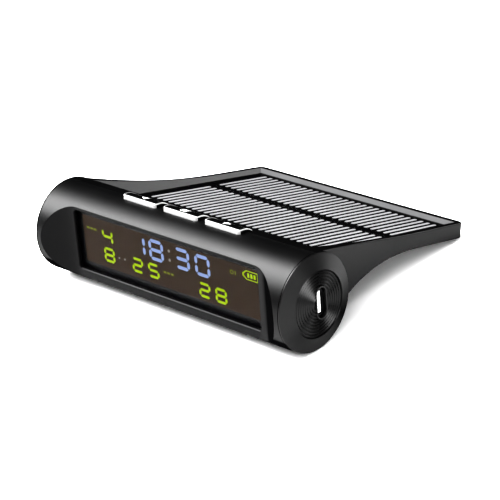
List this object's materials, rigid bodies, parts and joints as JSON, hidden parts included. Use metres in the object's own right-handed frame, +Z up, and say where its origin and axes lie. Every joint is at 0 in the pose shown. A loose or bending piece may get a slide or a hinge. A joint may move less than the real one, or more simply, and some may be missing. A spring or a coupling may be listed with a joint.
{
  "type": "tire pressure monitor",
  "caption": "Solar dashboard display for tyre pressure: a barrel with a wide segment display, crown buttons and a port, and a flared solar wing.",
  "frame": {"origin": "on the surface that the unit stands on, under the middle of its box", "axes": "+X along the display towards the charging port, +Z up, the display looks towards -Y"},
  "size_m": [0.1072, 0.0945, 0.0314],
  "materials": {
    "housing_plastic": "semi-gloss moulded black",
    "cover_plastic": "fine spark-eroded texture",
    "bezel_plastic": "semi-gloss moulded black",
    "cap_plastic": "semi-gloss moulded black",
    "clear_window": "polished clear acrylic",
    "display_glass": "dark brown display ground",
    "white_acrylic": "diffusing white",
    "holder_plastic": "moulded black",
    "pin_metal": "tinned",
    "circuit_board": "green solder mask",
    "steel": "plated",
    "component_black": "moulded",
    "component_can": "drawn",
    "copper": "enamelled wire",
    "connector_white": "moulded nylon",
    "port_steel": "plated steel",
    "port_white": "moulded white",
    "battery_wrap": "shrink sleeve",
    "foam": "closed-cell foam tape",
    "wire": "insulated wire",
    "solar_black": "black laminate",
    "solar_cell": "pale reflective strips",
    "solar_clear": "clear laminate",
    "rubber": "soft anti-slip",
    "key_plastic": "gloss black",
    "trim_chrome": "bright plated",
    "plunger_plastic": "moulded"
  },
  "bodies": {
    "unit": {"antenna_coil": "copper", "anti_slip_pad": "rubber", "backlight_lamps": "white_acrylic", "battery_cell": "battery_wrap", "battery_leads": "wire", "battery_pad": "foam", "battery_plug": "connector_white", "battery_socket": "connector_white", "battery_tab": "steel", "board_header": "component_black", "bottom_cover": "cover_plastic", "bottom_cover_screws": "steel", "button_board": "circuit_board", "button_board_screws": "steel", "buzzer": "component_black", "capacitors": "component_can", "controller_chip": "component_black", "crystal": "steel", "display_window": "clear_window", "end_cap_left": "cap_plastic", "end_cap_right": "cap_plastic", "front_bezel": "bezel_plastic", "lcd_glass": "display_glass", "lcd_holder": "holder_plastic", "lcd_pins": "pin_metal", "light_guide": "white_acrylic", "main_board": "circuit_board", "main_board_screws": "steel", "main_housing": "housing_plastic", "motion_sensor": "steel", "port_shell": "port_steel", "port_tongue": "port_white", "radio_board": "circuit_board", "radio_can": "steel", "rear_feet": "rubber", "resistors": "component_black", "solar_board": "solar_black", "solar_cells": "solar_cell", "solar_cover": "solar_clear", "solar_leads": "wire", "solar_tape": "foam", "switch_bodies": "component_black"},
    "left_button": {"button_left": "key_plastic", "button_left_trim": "trim_chrome", "switch_plunger_left": "plunger_plastic"},
    "middle_button": {"button_middle": "key_plastic", "button_middle_trim": "trim_chrome", "switch_plunger_middle": "plunger_plastic"},
    "right_button": {"button_right": "key_plastic", "button_right_trim": "trim_chrome", "switch_plunger_right": "plunger_plastic"}
  },
  "joints": [
    {"name": "left_button_press", "type": "slide", "parent": "unit", "child": "left_button", "axis": [0, -0.1736, -0.9848], "range_m": [0, 0.0004], "stiffness_N_per_m": 400, "springref_m": -0.002},
    {"name": "middle_button_press", "type": "slide", "parent": "unit", "child": "middle_button", "axis": [0, -0.1736, -0.9848], "range_m": [0, 0.0004], "stiffness_N_per_m": 400, "springref_m": -0.002},
    {"name": "right_button_press", "type": "slide", "parent": "unit", "child": "right_button", "axis": [0, -0.1736, -0.9848], "range_m": [0, 0.0004], "stiffness_N_per_m": 400, "springref_m": -0.002}
  ]
}
